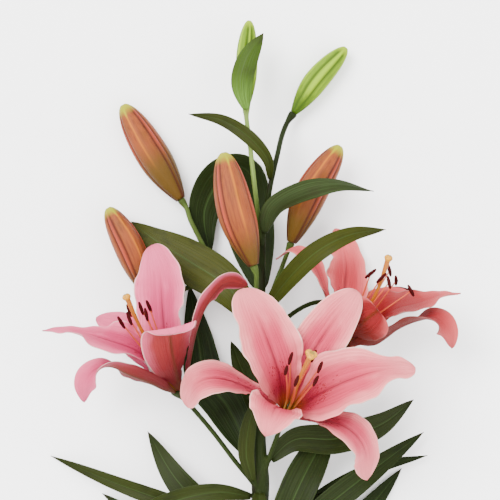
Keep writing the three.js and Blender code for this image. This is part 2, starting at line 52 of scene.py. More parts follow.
class Wire:
    """A value or colour that runs through a material's nodes, with sums written as Python."""

    def __init__(self, tree, socket=None):
        self.tree, self.socket = tree, socket

    def node(self, kind, settings=None, inputs=None, output=0):
        """Any node, from its type, its settings and the values or wires of its sockets."""
        made = self.tree.nodes.new(kind)
        for key, setting in (settings or {}).items():
            setattr(made, key, setting)
        for key, value in (inputs or {}).items():
            if isinstance(value, Wire):
                self.tree.links.new(value.socket, made.inputs[key])
            else:
                made.inputs[key].default_value = value
        return Wire(self.tree, made.outputs[output])

    def maths(self, operation, *others):
        values = dict(enumerate((self, *others)))
        return self.node("ShaderNodeMath", {"operation": operation}, values)

    __add__ = __radd__ = partialmethod(maths, "ADD")
    __sub__ = partialmethod(maths, "SUBTRACT")
    __mul__ = __rmul__ = partialmethod(maths, "MULTIPLY")
    __truediv__ = partialmethod(maths, "DIVIDE")
    __abs__ = partialmethod(maths, "ABSOLUTE")

    def __rsub__(self, other):
        return self.node("ShaderNodeMath", {"operation": "SUBTRACT"}, {0: other, 1: self})

    def between(self, low, high):
        """0 below low, 1 above high and a smooth rise between; high may be the lower one."""
        if high < low:
            return 1 - self.between(high, low)
        settings = {"interpolation_type": "SMOOTHSTEP"}
        return self.node("ShaderNodeMapRange", settings, {0: self, 1: low, 2: high, 3: 0.0, 4: 1.0})

    def near(self, middle, width):
        """1 at middle, falling to 0 as a bell of this width."""
        away = (self - middle) / width
        return (away * away * -1.0).maths("EXPONENT")

    def tint(self, first, second):
        """first where this is 0, second where it is 1; either is a wire or three numbers, 0 to 255."""
        first, second = (screen_colour(*c) if isinstance(c, tuple) else c for c in (first, second))
        settings = {"data_type": "RGBA", "clamp_factor": True}
        return self.node("ShaderNodeMix", settings, {0: self, 6: first, 7: second}, 2)

    def number(self, label):
        """A number kept at the piece's corners."""
        return self.node("ShaderNodeAttribute", {"attribute_name": label}, output=2)

    def point(self, label):
        """A place kept at the piece's corners, as its three numbers."""
        place = self.node("ShaderNodeAttribute", {"attribute_name": label}, output=1)
        split = self.node("ShaderNodeSeparateXYZ", {}, {0: place})
        return [Wire(self.tree, socket) for socket in split.socket.node.outputs]

    def noise(self, x, y, z, detail=2.0, rough=0.5):
        """Cloudy noise from 0 to 1 at a place given by its three numbers."""
        place = self.node("ShaderNodeCombineXYZ", {}, {0: x, 1: y, 2: z})
        inputs = {"Vector": place, "Scale": 1.0, "Detail": detail, "Roughness": rough}
        return self.node("ShaderNodeTexNoise", {}, inputs)


def material(name):
    """A new material and a first wire to work from."""
    made = bpy.data.materials.new(name)
    made.use_nodes = True
    made.node_tree.nodes.clear()
    return made, Wire(made.node_tree)


def surface(wire, colour, roughness, height, depth, coat=0.0, through=None, share=0.0, gloss=0.2):
    """A soft plant or board surface. height is its relief, 0 to 1, and depth that relief's size
    in metres. share of it is thin tissue that light of the colour through shines through, and
    gloss is how strongly it reflects the room."""
    relief = wire.node("ShaderNodeBump", {}, {"Strength": 1.0, "Distance": depth, "Height": height})
    inputs = {"Base Color": colour, "Roughness": roughness, "Normal": relief, "Coat Weight": coat,
              "Coat Roughness": 0.35, "Specular IOR Level": gloss}
    skin = wire.node("ShaderNodeBsdfPrincipled", {}, inputs)
    if share:
        inputs = {"Color": screen_colour(*through), "Normal": relief}
        glow = wire.node("ShaderNodeBsdfTranslucent", {}, inputs)
        skin = wire.node("ShaderNodeMixShader", {}, {0: share, 1: skin, 2: glow})
    end = wire.tree.nodes.new("ShaderNodeOutputMaterial")
    wire.tree.links.new(skin.socket, end.inputs["Surface"])


board_paint, wire = material("white_board")
spot = wire.node("ShaderNodeTexCoord", output=3)
grain = wire.node("ShaderNodeTexNoise", {}, {"Vector": spot, "Scale": 60.0, "Detail": 3.0})
surface(wire, grain.tint((254, 254, 254), (251, 251, 251)), 0.8, grain, 0.0001)


def shown(name, data):
    """A new object in the scene, made from a mesh, a lamp or a camera."""
    made = bpy.data.objects.new(name, data)
    bpy.context.collection.objects.link(made)
    return made


BOARD = 6.0
board = bpy.data.meshes.new("board")
half = BOARD / 2
edge = [(-half, -half, 0), (half, -half, 0), (half, half, 0), (-half, half, 0)]
board.from_pydata(edge, [], [(0, 1, 2, 3)])
board.materials.append(board_paint)
board = shown("board", board)
board.location.z = -0.0001

for name, place, strength, spread in (
    ("window", (-0.5, 0.45, 1.0), 6.4, 35),
    ("fill", (0.7, -0.5, 0.8), 1.8, 60),
):
    lamp = bpy.data.lights.new(name, "SUN")
    lamp.energy = strength
    lamp.angle = math.radians(spread)
    shown(name, lamp).rotation_euler = Vector(place).to_track_quat("Z", "Y").to_euler()
sky = bpy.data.worlds.new("white_room")
sky.use_nodes = True
sky.node_tree.nodes["Background"].inputs["Color"].default_value = (1, 1, 1, 1)
sky.node_tree.nodes["Background"].inputs["Strength"].default_value = 3.1
bpy.context.scene.world = sky

# The camera looks straight down from two metres, on the upper part of the plant.
camera = bpy.data.cameras.new("camera")
camera.lens, camera.sensor_width = 200, 36
viewer = shown("camera", camera)
viewer.location = (-0.00139, 0.09277, 2.004)
bpy.context.scene.camera = viewer


# The main stem with the stalks of the blooms and buds, grown as one body. It is a firm, juicy
# green rod, ribbed along its length, darker and browner where the stalks part, paler on the
# young stalks. A low cushion stands out from it under each leaf.
PLANT = np.array([7.0, -43.74, 0.0])
STEM_RADIUS, STEM_TOP_RADIUS, NODE_SWELLING = 5.0, 2.0, 1.4
STALK_RADIUS, STALK_FLARE = 1.8, 1.3
RECEPTACLE_RADIUS, RECEPTACLE_LENGTH = 6.2, 10.0
GAP = 0.35
VOXEL = 0.0008
CUT_END, CUT_DEPTH = -205, 0.4


def smooth(x):
    """A smooth rise from 0 to 1."""
    x = np.clip(x, 0, 1)
    return x * x * (3 - 2 * x)


def bell(x, width):
    """1 at 0, falling away on both sides."""
    return np.exp(-((x / width) ** 2))


def midline(points, shares):
    """Places and directions at shares of the length of a smooth line through points, in mm."""
    p = np.array(points, float)
    p = np.vstack([2 * p[0] - p[1], p, 2 * p[-1] - p[-2]])
    u = np.linspace(0, 1, 48, endpoint=False)[:, None]
    line = []
    for a, b, c, d in zip(p, p[1:], p[2:], p[3:]):
        g, h, k = (np.linalg.norm(v) ** 0.5 for v in (b - a, c - b, d - c))
        leave = ((b - a) / g - (c - a) / (g + h) + (c - b) / h) * h
        arrive = ((c - b) / h - (d - b) / (h + k) + (d - c) / k) * h
        line.append(b + leave * u + (3 * (c - b) - 2 * leave - arrive) * u**2
                    + (2 * (b - c) + leave + arrive) * u**3)
    line = np.vstack([*line, p[-2]])
    run = np.r_[0, np.cumsum(np.linalg.norm(np.diff(line, axis=0), axis=1))]
    ways = np.gradient(line, run, axis=0)
    at = np.asarray(shares) * run[-1]
    spot, way = (np.stack([np.interp(at, run, v[:, k]) for k in range(3)], 1) for v in (line, ways))
    return spot, way / np.linalg.norm(way, axis=1)[:, None], run[-1]


def carried(points, shares, face, twist=0.0, twist_from=0.0):
    """A midline with, at each place, which way the upper side looks and which way is across."""
    spot, way, length = midline(points, shares)
    ups = [np.array(face, float)]
    for k in range(len(spot)):
        up = ups[-1]
        if k:
            step = spot[k] - spot[k - 1]
            up = up - 2 * (up @ step) / (step @ step) * step
            turn = way[k] - way[k - 1] + 2 * (way[k - 1] @ step) / (step @ step) * step
            if turn @ turn > 1e-12:
                up = up - 2 * (up @ turn) / (turn @ turn) * turn
        up = up - (up @ way[k]) * way[k]
        ups.append(up / np.linalg.norm(up))
    up = np.array(ups[1:])
    angle = math.radians(twist) * smooth((np.asarray(shares) - twist_from) / (1 - twist_from))[:, None]
    up = up * np.cos(angle) + np.cross(way, up) * np.sin(angle)
    return spot, way, up, np.cross(way, up), length


def tube(points, shares, sides, radius):
    """Corners, faces and kept places of a round body along a line, closed at both ends."""
    shares = np.asarray(shares)
    spot, way, up, across, length = carried(points, shares, (0.1, 0.1, 1))
    angle = np.linspace(0, 2 * np.pi, sides, endpoint=False)
    reach = radius(shares[:, None], angle[None]) * np.ones((len(shares), sides))
    x, y = reach * np.cos(angle), reach * np.sin(angle)
    corners = spot[:, None] + up[:, None] * x[..., None] + across[:, None] * y[..., None]
    place = np.stack([x, y, np.repeat(shares[:, None] * length, sides, 1)], -1)
    ends = [[0, 0, 0], [0, 0, length]]
    faces = []
    last = (len(shares) - 1) * sides
    total = len(shares) * sides
    for k in range(sides):
        n = (k + 1) % sides
        faces += [(i + k, i + n, i + sides + n, i + sides + k) for i in range(0, last, sides)]
        faces += [(total, n, k), (total + 1, last + k, last + n)]
    corners = np.vstack([corners.reshape(-1, 3), spot[:1], spot[-1:]])
    return corners, faces, np.vstack([place.reshape(-1, 3), ends])


def gathered(parts):
    """Several bodies' corners, faces and kept places as one."""
    corners, faces, places, count = [], [], [], 0
    for body, its_faces, place in parts:
        corners.append(body)
        places.append(place)
        faces += [tuple(i + count for i in face) for face in its_faces]
        count += len(body)
    return np.vstack(corners), faces, np.concatenate(places)


def keep(data, **kept):
    """Numbers or places kept at each corner of a mesh, for its material."""
    for label, values in kept.items():
        values = np.array(values, np.float32)
        kind, field = ("FLOAT", "value") if values.ndim == 1 else ("FLOAT_VECTOR", "vector")
        data.attributes.new(label, kind, "POINT").data.foreach_set(field, values.ravel())


def piece(name, corners, faces, paint, **kept):
    """A piece from its corners in mm, with numbers kept at each corner for its material."""
    data = bpy.data.meshes.new(name)
    placed = np.array(corners) + PLANT
    placed[:, 2] = np.maximum(placed[:, 2], 0)
    data.from_pydata((placed / 1000).tolist(), [], faces)
    keep(data, **kept)
    data.shade_smooth()
    data.materials.append(paint)
    return shown(name, data)


def settled(worked, name, paint):
    """What a piece's modifiers make of it, as a plain piece; the worked one is removed."""
    bpy.context.view_layer.update()
    data = bpy.data.meshes.new_from_object(worked.evaluated_get(bpy.context.evaluated_depsgraph_get()))
    bpy.data.objects.remove(worked)
    data.name = name
    if not data.materials:
        data.materials.append(paint)
    return shown(name, data)


def fixed(made, slot, *nodes):
    """A finished piece rides with the plant and stands for its nodes; its slot is not used."""
    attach(made, "root")
    if nodes:
        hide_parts(*nodes)


buds = {
    "tall_green_bud": dict(points=[(-11, 239, 32), (-11, 275, 30), (-9, 300, 28)], radius=7.6, turn=50,
        gap=2, stalk=[(0, 140, 42), (-4, 172, 43), (-8, 207, 39)], tone=1.0, olive=0),
    "side_green_bud": dict(points=[(23, 235, 10), (39, 258, 8.2), (61, 282, 9.5)], radius=8.6, turn=60,
        gap=3.5, olive=0),
    "corner_bud": dict(points=[(-58, 173, 13), (-80, 207, 10.3), (-100, 241, 11)], radius=12, turn=20,
        gap=2.4, stalk=[(0, 80, 38), (-26, 108, 22), (-39, 134, 19), (-51, 158, 21)], tone=0.35, olive=1),
    "centre_bud": dict(points=[(-6, 126, 60), (-18, 164, 64), (-27, 205, 62)], radius=13, turn=-6, gap=2.8,
        stalk=[(-1, 76, 40), (-3, 96, 47), (-4, 110, 54)], tone=0.3, olive=0.2),
    "outer_bud": dict(points=[(-83, 107, 18), (-93, 136, 20), (-110, 167, 20)], radius=10.5, turn=-20,
        gap=2.4, stalk=[(0, 69, 37), (-21, 102, 22), (-51, 110, 14), (-72, 97, 14)], tone=0.2, olive=0.1),
    "side_bud": dict(points=[(21, 142, 27), (34, 176, 28), (56, 211, 26)], radius=11.7, turn=20, gap=2.4,
        stalk=[(1, 83, 41), (8, 108, 36), (15, 126, 30)], tone=0.25, olive=0.55),
}
blooms = {
    "front": dict(at=(17, 24, 70), axis=(0.26, 0.59, 0.77), turn=26, stamen_turn=35, tone=0.03,
        stalk=[(-1, -32, 34), (4, -14, 38), (11, 6, 48)]),
    "left": dict(at=(-59, 39, 50), axis=(-0.47, 0.81, 0.34), turn=-10, stamen_turn=40, tone=0.05,
        stalk=[(-2, -32, 33), (-15, -18, 36), (-35, 8, 36), (-50, 26, 40)]),
    "right": dict(at=(59, 70, 42), axis=(0.47, 0.82, 0.31), turn=10, stamen_turn=25, tone=0.05,
        stalk=[(0, 64, 40), (19, 89, 30), (38, 99, 22), (50, 97, 14), (54, 79, 10), (51, 63, 24)]),
}
for bud in buds.values():
    bud["foot"] = np.array(bud["points"][0], float)
    way = np.array(bud["points"][1], float) - bud["foot"]
    bud["way"] = way / np.linalg.norm(way)
    bud["approach"] = [bud["foot"] - 7 * bud["way"], bud["foot"]]
for bloom in blooms.values():
    bloom["at"] = np.array(bloom["at"], float)
    bloom["axis"] = np.array(bloom["axis"]) / np.linalg.norm(bloom["axis"])
    side = np.array([bloom["axis"][1], -bloom["axis"][0], 0])
    bloom["side"] = side / np.linalg.norm(side)
    bloom["back"] = np.cross(bloom["axis"], bloom["side"])

stem_points = [(0, -212, 5), (0, -144, 9), (-1, -71, 21), (-1, -27, 33), (-2, 16, 38), (-2, 66, 40),
               (0, 108, 41), (1, 151, 42), (6, 182, 42), (11, 204, 33), (15, 220, 18),
               *buds["side_green_bud"]["approach"]]
stem_fine = np.linspace(0, 1, 800)
stem_spot, _, stem_length = midline(stem_points, stem_fine)


def stem_radius(s):
    """The bare stem's radius at a share of its length."""
    thinner = smooth((s - 0.35) / 0.5)
    neck = 1.2 * smooth((s - 1) * stem_length / 9 + 1)
    swelling = NODE_SWELLING * bell(s - 0.4, 0.035)
    return STEM_RADIUS + (STEM_TOP_RADIUS - STEM_RADIUS) * thinner + swelling + neck


def stem_at(y):
    """The stem's middle, direction and radius at a distance along the plant."""
    s = np.interp(y, stem_spot[:, 1], stem_fine)
    spot, way, _ = midline(stem_points, [s])
    return spot[0], way[0], stem_radius(s)


leaf_table = [  # where its foot is, its midrib, width, tone from deep green to olive, and the rest
    (186, [(4, 200, 50), (-8, 215, 50), (-28, 228, 44), (-52, 233, 34)], 10, 0.6, dict(seat=0.7)),
    (149, [(9, 166, 52), (25, 176, 55), (51, 182, 52), (79, 178, 40)], 17, 0.35, dict(widest=0.2, blunt=1.1,
     face=(-0.2, 0.8, -0.3), twist=-90)),
    (110, [(-7, 142, 14), (-12, 168, 6), (-16, 187, 7), (-28, 187, 13), (-41, 165, 9.5), (-37, 132, 9)], 38,
     0.15, dict(twist=30, seat=0.6, rows=90)),
    (94, [(19, 117, 60), (39, 136, 68), (61, 147, 66), (87, 151, 52)], 15, 0.8, dict(seat=0.5)),
    (88, [(-24, 110, 36), (-51, 128, 23), (-77, 144, 12), (-94, 157, 7)], 32, 1.0, {}),
    (20, [(-10, 41, 30), (-16, 56, 20), (-22, 71, 10)], 14, 0.3, {}),
    (-8, [(-24, 24, 23), (-40, 45, 15), (-46, 75, 8), (-52, 111, 4)], 31, 0.1, dict(widest=0.3, seat=-0.6)),
    (-12, [(23, 2, 36), (52, 3, 38), (84, 12, 26), (109, 29, 10)], 22, 0.3, {}),
    (-26, [(-11, -8, 46), (-9, 14, 49), (-2, 37, 54)], 12, 0.45, dict(seat=0.7)),
    (-38, [(-33, -35, 38), (-72, -45, 32), (-107, -64, 14)], 15, 0.4, {}),
    (-34, [(-3, -52, 46), (-11, -83, 38), (-18, -120, 22)], 22, 0.35, dict(seat=0.4)),
    (-63, [(-44, -50, 30), (-101, -31, 22), (-152, -12, 1)], 12, 0.45, {}),
    (-72, [(34, -46, 20), (78, -21, 15), (119, -11, 9)], 12, 0.2, {}),
    (-84, [(-33, -57, 24), (-62, -26, 20), (-82, 6, 6)], 21, 0.3, {}),
    (-86, [(31, -59, 27), (70, -27, 27), (116, 6, 14)], 19, 0.2, {}),
    (-100, [(11, -69, 33), (26, -32, 34), (40, -5, 28), (52, 18, 22)], 26, 0.2, dict(widest=0.6, seat=1.4)),
    (-98, [(-37, -82, 18), (-80, -61, 12), (-115, -39, 1)], 16, 0.35, {}),
    (-115, [(35, -86, 12), (72, -54, 8), (101, -21, 1)], 20, 0.15, {}),
    (-129, [(27, -112, 18), (60, -104, 14), (91, -100, 1)], 17, 0.35, {}),
    (-144, [(-26, -132, 16), (-59, -138, 12), (-89, -152, 1)], 18, 0.4, {}),
    (-159, [(20, -153, 20), (49, -158, 16), (81, -156, 1)], 17, 0.5, {}),
]
LEAF_FOOT, LEAF_THICKNESS = 0.3, 0.8
leaves, cushions = [], []
for foot, points, width, tone, shape in leaf_table:
    face = np.array(shape.pop("face", (0, 0, 1)), float)
    middle, way, radius = stem_at(foot)
    leaving = np.array(points[0], float) - middle
    outward = leaving - (leaving @ way) * way
    outward /= np.linalg.norm(outward)
    across = np.cross(leaving / np.linalg.norm(leaving), face)
    turned_in = abs(across @ outward) * width * LEAF_FOOT / 2
    reach = radius + GAP + turned_in + LEAF_THICKNESS / 2 - shape.pop("seat", 0)
    cushions.append((width, [middle, middle + outward * (reach - 1.0), middle + outward * (reach + 0.6)]))
    shape.update(points=[middle + outward * reach, *points], width=width, face=face)
    leaves.append((tone, shape))


def painted(colour, *coats):
    """A colour with coats laid over it in turn: where each one lies, and its colour."""
    for where, coat in coats:
        colour = where.tint(colour, coat)
    return colour


stem_paint, wire = material("stem_skin")
x, y, z = wire.point("place")
tone = wire.number("tone")
streak = wire.noise(x * 1.1, y * 1.1, z * 0.035, 3.0)
blotch = wire.noise(x * 0.1, y * 0.1, z * 0.03)
speck = wire.noise(x * 2.5, y * 2.5, z * 0.9)
strands = wire.noise(x * 1.4, y * 1.4, z * 0.2, 1.0)
green = painted(
    tone.tint((19, 28, 3), (93, 112, 53)),
    (streak.between(0.45, 0.7) * 0.5, tone.tint((34, 40, 16), (142, 170, 76))),
    (blotch.between(0.5, 0.7) * (1 - tone) * 0.8, (15, 9, 3)),
    (speck.between(0.62, 0.72) * 0.35, (20, 25, 14)),
    (wire.number("end").between(0.3, 0.8), strands.between(0.56, 0.66).tint((118, 132, 56), (72, 88, 28))),
)
surface(wire, green, 0.4 + streak * 0.2, streak * 0.7 + speck * 0.3, 0.0006, gloss=0.06)


def stalk_tube(points, end_radius, swelling):
    """A flower stalk, thicker where it leaves the stem and where it ends."""
    _, _, length = midline(points, [0, 1])

    def radius(s, angle):
        swell = smooth((s - 1) * length / swelling + 1)
        flare = STALK_FLARE * bell(s * length, 9)
        ribs = 0.06 * np.cos(5 * angle + 2 * s)
        return (STALK_RADIUS + (end_radius - STALK_RADIUS) * swell + flare) * (1 + ribs)

    shares = 1 - (1 - np.linspace(0, 1, 60)) ** 1.3
    return tube(points, shares, 18, radius)


def ribbed(s, angle):
    return stem_radius(s) * (1 + 0.03 * np.cos(6 * angle + 9 * s) + 0.02 * np.cos(11 * angle - 14 * s))


tubes = [(stem_points, 0.0, tube(stem_points, np.linspace(0, 1, 260), 40, ribbed))]
for bloom in blooms.values():
    end = bloom["at"]
    path = [*bloom["stalk"], end - 8 * bloom["axis"], end]
    tubes.append((path, bloom["tone"], stalk_tube(path, RECEPTACLE_RADIUS, RECEPTACLE_LENGTH)))
for bud in buds.values():
    if "stalk" in bud:
        path = [*bud["stalk"], *bud["approach"]]
        tubes.append((path, bud["tone"], stalk_tube(path, 3, 9)))
bodies = [body for _, _, body in tubes]
for width, cushion in cushions:
    flat = width * LEAF_FOOT * 0.5
    bodies.append(tube(cushion, np.linspace(0, 1, 8), 16, lambda s, angle: np.maximum(
        flat * (1 - 0.35 * s) * np.abs(np.sin(angle)), 1.0) + 0 * s))
corners, faces, places = gathered(bodies)
raw = piece("raw_stem", corners, faces, stem_paint)
joining = raw.modifiers.new("joining", "REMESH")
joining.mode, joining.voxel_size, joining.use_smooth_shade = "VOXEL", VOXEL, True
easing = raw.modifiers.new("easing", "SMOOTH")
easing.factor, easing.iterations = 0.5, 5
stem = settled(raw, "main_stem", stem_paint)

steps = 400
tree = KDTree(len(tubes) * steps)
known = []
for path, tone, _ in tubes:
    spot, way, up, across, length = carried(path, np.linspace(0, 1, steps), (0.1, 0.1, 1))
    for k in range(steps):
        tree.insert(spot[k], len(known))
        known.append((spot[k], up[k], across[k], way[k], k / (steps - 1) * length, tone * smooth(k / 200)))
tree.balance()
corners = np.empty(len(stem.data.vertices) * 3, np.float32)
stem.data.vertices.foreach_get("co", corners)
corners = corners.reshape(-1, 3) * 1000 - PLANT
places, tones, ends = [], [], []
for corner in corners:
    spot, up, across, way, run, tone = known[tree.find(corner)[1]]
    off = corner - spot
    places.append((off @ up, off @ across, run + off @ way))
    tones.append(tone)
    ends.append(1.0 if corner[1] < CUT_END and run + off @ way < CUT_DEPTH else 0.0)
keep(stem.data, place=places, tone=tones, end=ends)
stem.data.shade_smooth()
fixed(stem, "stem_green", "stem")


# The leaves are narrow blades without stalks, softly channelled along the middle, with fine
# veins from end to end and edges that rise and fall. They are leathery and a little glossy
# above, paler and duller below, and they sit straight on the stem.
EDGE_THICKNESS, NARROWEST = 0.32, 0.5


def outline(s, foot, widest, taper, blunt):
    """How wide a leaf, tepal or bud is along its length, as a share of its widest place."""
    rise = foot + (1 - foot) * np.sin(np.clip(s / widest, 0, 1) * np.pi / 2) ** taper
    fall = np.clip(1 - ((s - widest) / (1 - widest)) ** 2, 0, 1) ** blunt
    return np.where(s < widest, rise, fall)


def blade(points, width, face, foot=LEAF_FOOT, widest=0.42, taper=0.8, blunt=0.9, pinch=0, cup=(35, 12, 5),
          wave=(0.8, 2, 2), thickness=LEAF_THICKNESS, twist=0, twist_from=0, relief=None, rows=56, columns=20):
    """Corners, faces and kept numbers of a thin blade along a line: a leaf, petal or sepal. cup bends
    it across, in degrees at its foot, middle and tip; wave is its edges' height, count and lag.
    relief gives what is added to its middle, its upper side and its lower side, in mm."""
    s = 1 - (1 - np.linspace(0, 1, rows + 1)) ** 1.35
    t = np.sin(np.linspace(-1, 1, columns + 1) * np.pi / 2) * 0.35 + np.linspace(-1, 1, columns + 1) * 0.65
    spot, way, up, across, length = carried(points, s, face, twist, twist_from)
    waist = 1 - pinch * bell(s - 0.8, 0.12)
    half = np.maximum(width * waist * outline(s, foot, widest, taper, blunt), NARROWEST)[:, None] / 2
    bend = np.interp(s, (0, 0.5, 1), cup)
    arc = np.radians(np.where(np.abs(bend) < 1, 1, bend))[:, None]
    S, T = np.meshgrid(s, t, indexing="ij")
    height, count, lag = wave
    ripple = np.sin(2 * np.pi * count * S + np.where(T < 0, lag, 0))
    lift = height * np.sin(np.pi * S) * np.abs(T) ** 2.5 * ripple
    out = half * np.sin(arc * T) / arc
    high = half * (1 - np.cos(arc * T)) / arc + lift
    middle = spot[:, None] + across[:, None] * out[..., None] + up[:, None] * high[..., None]
    added, above, below = relief(S, T, half * T) if relief else (0 * S, 0 * S, 0 * S)

    def normals(grid):
        normal = np.cross(np.gradient(grid, axis=1), np.gradient(grid, axis=0))
        return normal / np.linalg.norm(normal, axis=2)[..., None]

    middle = middle + normals(middle) * added[..., None]
    normal = normals(middle)
    thick = (thickness + (EDGE_THICKNESS - thickness) * T**2) / 2
    upper = middle + normal * (thick + above)[..., None]
    lower = middle - normal * (thick + below)[..., None]
    wide = columns + 1
    below_all = (rows + 1) * wide
    faces = []
    for i in range(rows):
        for j in range(columns):
            a, b, c, d = i * wide + j, i * wide + j + 1, (i + 1) * wide + j + 1, (i + 1) * wide + j
            faces += [(a, b, c, d), (below_all + a, below_all + d, below_all + c, below_all + b)]
        for a, d in ((i * wide, (i + 1) * wide), ((i + 1) * wide + columns, i * wide + columns)):
            faces.append((a, d, below_all + d, below_all + a))
    for j in range(columns):
        for a, b in ((j + 1, j), (rows * wide + j, rows * wide + j + 1)):
            faces.append((a, b, below_all + b, below_all + a))
    corners = np.vstack([upper.reshape(-1, 3), lower.reshape(-1, 3)])
    place = np.stack([half * T, S * length, 0 * S], -1).reshape(-1, 3)
    run = np.tile(np.repeat(way, wide, axis=0), (2, 1))
    along, across = np.tile(S.ravel(), 2), np.tile(T.ravel(), 2)
    kept = dict(along=along, across=across, place=np.vstack([place, place]), run=run)
    kept["under"] = np.repeat([0.0, 1.0], below_all)
    return corners, faces, kept


def leaf_relief(s, t, x):
    """A channel over the midrib, a keel under it, and faint ribs beside it."""
    strong = np.sin(np.pi * np.clip(s, 0.02, 1)) ** 0.5
    channel = bell(x, 0.9) * strong
    ribs = 0.1 * np.cos(2 * np.pi * t * 4) * strong * (1 - np.abs(t) ** 4)
    return -0.15 * channel, -0.12 * channel + ribs, 0.3 * channel


def leaf_paint(name, deep, olive, dull, pale, pale_share):
    """Leaf skin: upper side from deep to olive by each leaf's tone, a duller under side, and
    pale streaks that rise from the foot."""
    made, wire = material(name)
    x, y, _ = wire.point("place")
    along, across, under = wire.number("along"), wire.number("across"), wire.number("under")
    tone = wire.number("tone")
    veins = wire.noise(across * 13 + tone * 40, along * 1.1, under * 5, 1.0)
    fine = wire.noise(across * 46, along * 2.5, tone * 30, 1.0)
    cloud = wire.noise(x * 0.11, y * 0.045, tone * 50, 3.0)
    cells = wire.noise(x * 3.5, y * 1.4, under * 9)
    line = veins.between(0.42, 0.62)
    upper = painted(
        tone.tint(deep, olive),
        (line * 0.35, tone.tint((31, 47, 19), (53, 56, 6))),
        (cloud.between(0.5, 0.8) * 0.6, (7, 9, 3)),
        (across.near(0, 0.04) * 0.55, (50, 69, 32)),
    )
    lower = painted(dull, (line * 0.5, (50, 66, 34)), (cloud.between(0.45, 0.75) * 0.5, (36, 30, 19)))
    leaf = painted(
        under.between(0.3, 0.7).tint(upper, lower),
        (abs(across).between(0.9, 1.0) * 0.35, (50, 62, 28)),
        (along.between(0.95, 1.0) * 0.8, (45, 36, 18)),
        (fine.between(0.35, 0.6) * (1 - along.between(0.05, 0.5)) * pale_share, pale),
    )
    height = line * 0.5 + fine * 0.3 + cells * 0.2
    rough = 0.34 + cells * 0.16 + under * 0.14
    surface(wire, leaf, rough, height, 0.00035, 0.03, (48, 80, 9), 0.06, gloss=0.06)
    return made


leaf_skin = leaf_paint("leaf_skin", (10, 22, 3), (44, 47, 3), (31, 39, 13), (48, 59, 30), 0.2)
for count, (tone, shape) in enumerate(leaves, 1):
    corners, faces, kept = blade(relief=leaf_relief, **shape)
    kept["tone"] = np.full(len(corners), tone)
    fixed(piece(f"blade_{count:02d}", corners, faces, leaf_skin, **kept), "leaf_green", f"leaf_{count:02d}")


# The small leaf that wraps the foot of the tall bud is young, so it is a brighter and paler
# green, whitish at its foot, and it is rolled closely round the bud.
bract_skin = leaf_paint("bract_skin", (40, 60, 4), (48, 66, 5), (45, 64, 5), (97, 135, 53), 0.85)
corners, faces, kept = blade([(-11, 236, 37.5), (-14, 254, 41), (-10, 271, 41), (1, 290, 38)], 18,
                             (0, 0, -1), foot=0.25, cup=(50, 48, 15), relief=leaf_relief)
kept["tone"] = np.full(len(corners), 0.5)
fixed(piece("bract", corners, faces, bract_skin, **kept), "bract_green", "bract_leaf")


# Each closed bud is three outer sepals laid edge to edge, every one with a raised midrib, and
# the keels of the inner petals show as narrow ridges in the grooves between them. The young
# buds are green; the ripe ones have coloured, with an olive foot and a yellow-green tip.
BUD_OUTLINE = dict(foot=0.3, widest=0.46, taper=0.9, blunt=0.48)


def bud_seams(angle, reach, gap):
    """How near a place is to a seam's ridge, its two grooves gap mm out and a sepal's midrib."""
    third = 2 * np.pi / 3
    from_rib = (angle + third / 2) % third - third / 2
    from_seam = third / 2 - np.abs(from_rib)
    ridge = bell(from_seam * reach, 0.6 * gap)
    groove = bell(from_seam * reach - gap, 1.0)
    rib = bell(from_rib * reach, 0.7)
    return ridge, groove, rib


def bud_body(points, radius, turn, gap):
    """A bud's solid, with what its material needs at each corner."""
    sides, rings = 120, 90

    def reach(s, angle):
        share = outline(s, **BUD_OUTLINE)
        ridge, groove, rib = bud_seams(angle + turn, radius * share, gap * share)
        strong = np.sin(np.pi * np.clip(s, 0, 1)) ** 0.6
        lobes = radius * share * (1 + 0.05 * share * np.cos(3 * (angle + turn)))
        return lobes + strong * (0.35 * ridge - 0.7 * groove + 0.3 * rib)

    shares = 0.995 * (1 - (1 - np.linspace(0, 1, rings)) ** 1.6)
    corners, faces, place = tube(points, shares, sides, reach)
    s = np.r_[np.repeat(shares, sides), 0, 1]
    angle = np.r_[np.tile(np.linspace(0, 2 * np.pi, sides, endpoint=False), rings), 0, 0]
    share = np.maximum(outline(s, **BUD_OUTLINE), 0.05)
    ridge, groove, rib = bud_seams(angle + turn, radius * share, gap * share)
    return corners, faces, dict(place=place, along=s, ridge=ridge, groove=groove, rib=rib)


def bud_paint(name, foot, body, ridge_colour, groove_colour, rib_colour, tip, streak_colour):
    """Bud skin: a coloured body with its seams and ribs picked out, and its own foot and tip."""
    made, wire = material(name)
    x, y, z = wire.point("place")
    along = wire.number("along")
    streak = wire.noise(x * 0.9, y * 0.9, z * 0.03, 3.0, 0.65)
    cloud = wire.noise(x * 0.12, y * 0.12, z * 0.05)
    cells = wire.noise(x * 3.0, y * 3.0, z * 1.2)
    ridge, groove, rib = wire.number("ridge"), wire.number("groove"), wire.number("rib")
    olive = along + (streak - 0.5) * 0.25 - wire.number("olive") * 0.28
    skin = painted(
        body,
        (streak.between(0.42, 0.66) * 0.6, streak_colour),
        (cloud.between(0.45, 0.75) * 0.35, foot),
        (ridge * along.between(0.1, 0.35) * 0.75, ridge_colour),
        (rib * along.between(0.15, 0.5) * 0.55, rib_colour),
        ((1 - olive.between(0.0, 0.36)) * 0.9, foot),
        (groove * (1 - along.between(0.88, 1.0)) * 0.85, groove_colour),
        ((along + rib * 0.05 + streak * 0.04).between(0.9, 1.0), tip),
    )
    height = streak * 0.5 + cells * 0.35
    surface(wire, skin, 0.42 + cells * 0.15, height, 0.0005, 0.0, rib_colour, 0.06, gloss=0.12)
    return made


